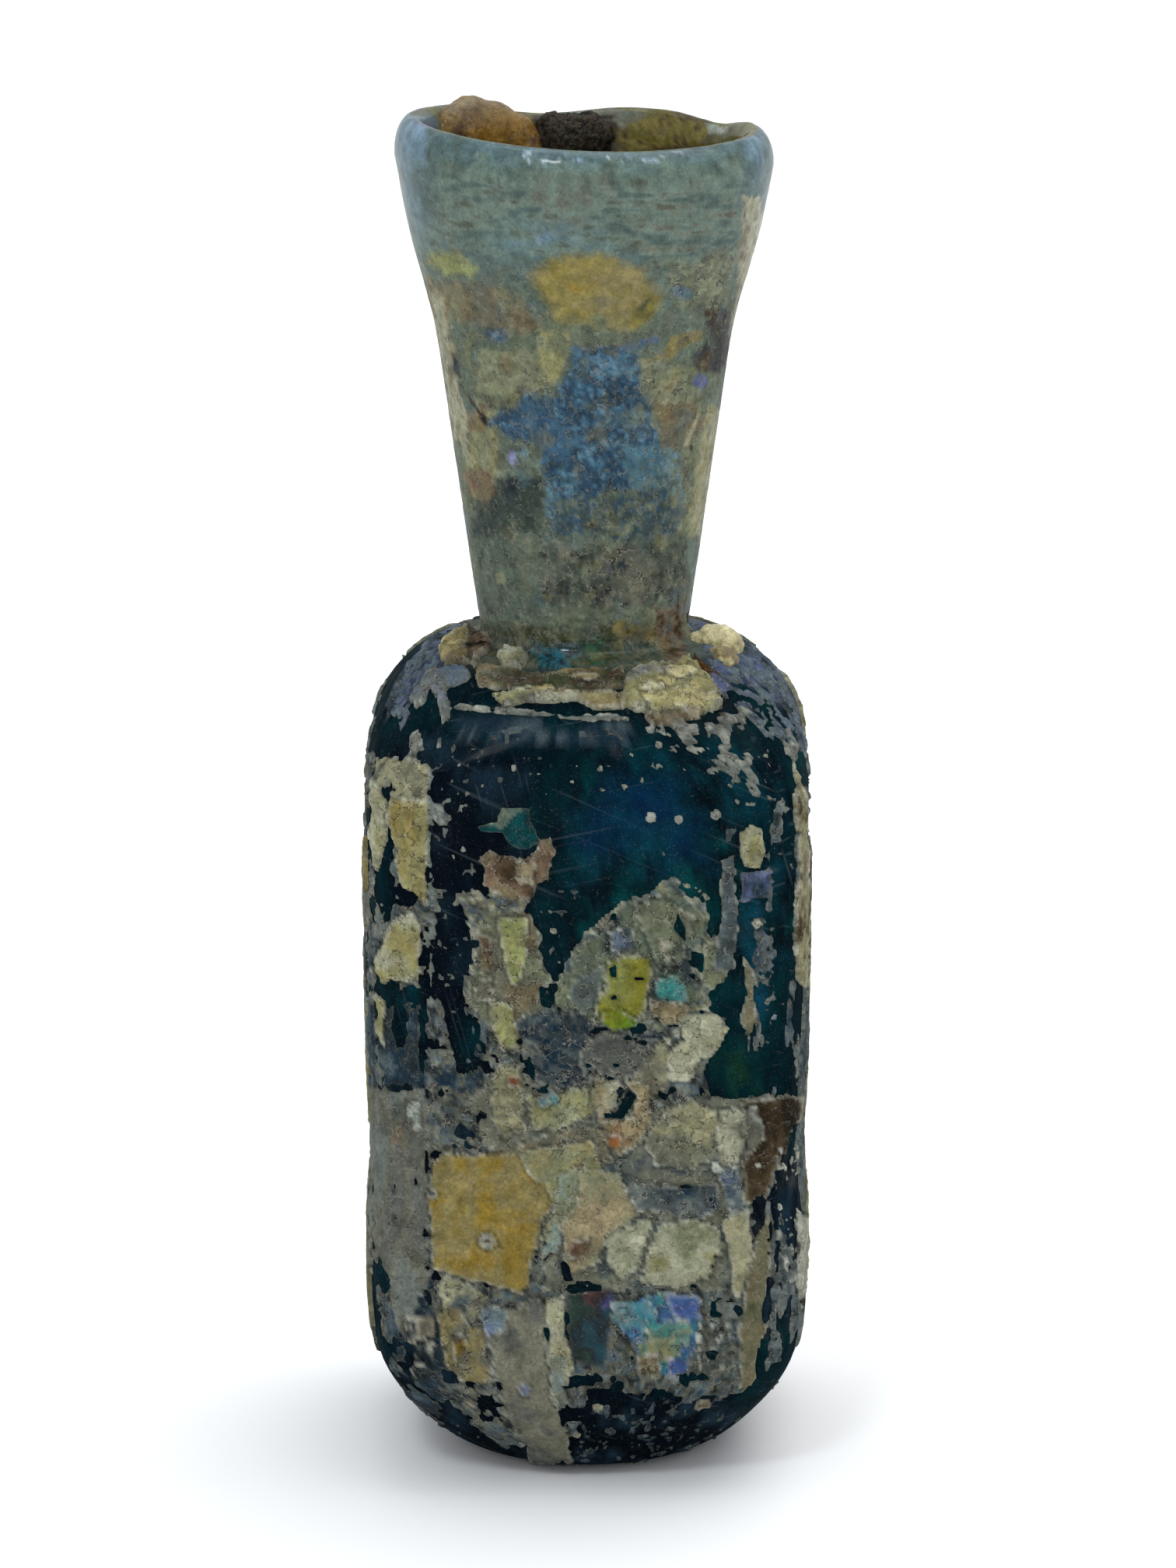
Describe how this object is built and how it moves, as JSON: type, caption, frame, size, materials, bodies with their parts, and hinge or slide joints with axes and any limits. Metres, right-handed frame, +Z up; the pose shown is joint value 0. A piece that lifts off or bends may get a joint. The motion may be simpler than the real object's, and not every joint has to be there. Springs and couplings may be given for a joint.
{
  "type": "glass unguentarium",
  "caption": "Small blown-glass perfume bottle: soft square body, round shoulder, tall flaring neck and thick rolled lip, hollow, with the crust and soil of long burial.",
  "frame": {"origin": "middle of the flat underside of the foot, on the surface the bottle stands on", "axes": "+Z up the bottle's axis towards the mouth; -Y out of the front face; +X to the right as seen from the front"},
  "size_m": [0.023, 0.023, 0.0709],
  "materials": {
    "glass": "weathered, part glossy dark blue-green glass, part cream and grey crust"
  },
  "bodies": {
    "root": {"bottle": "glass"}
  },
  "joints": []
}
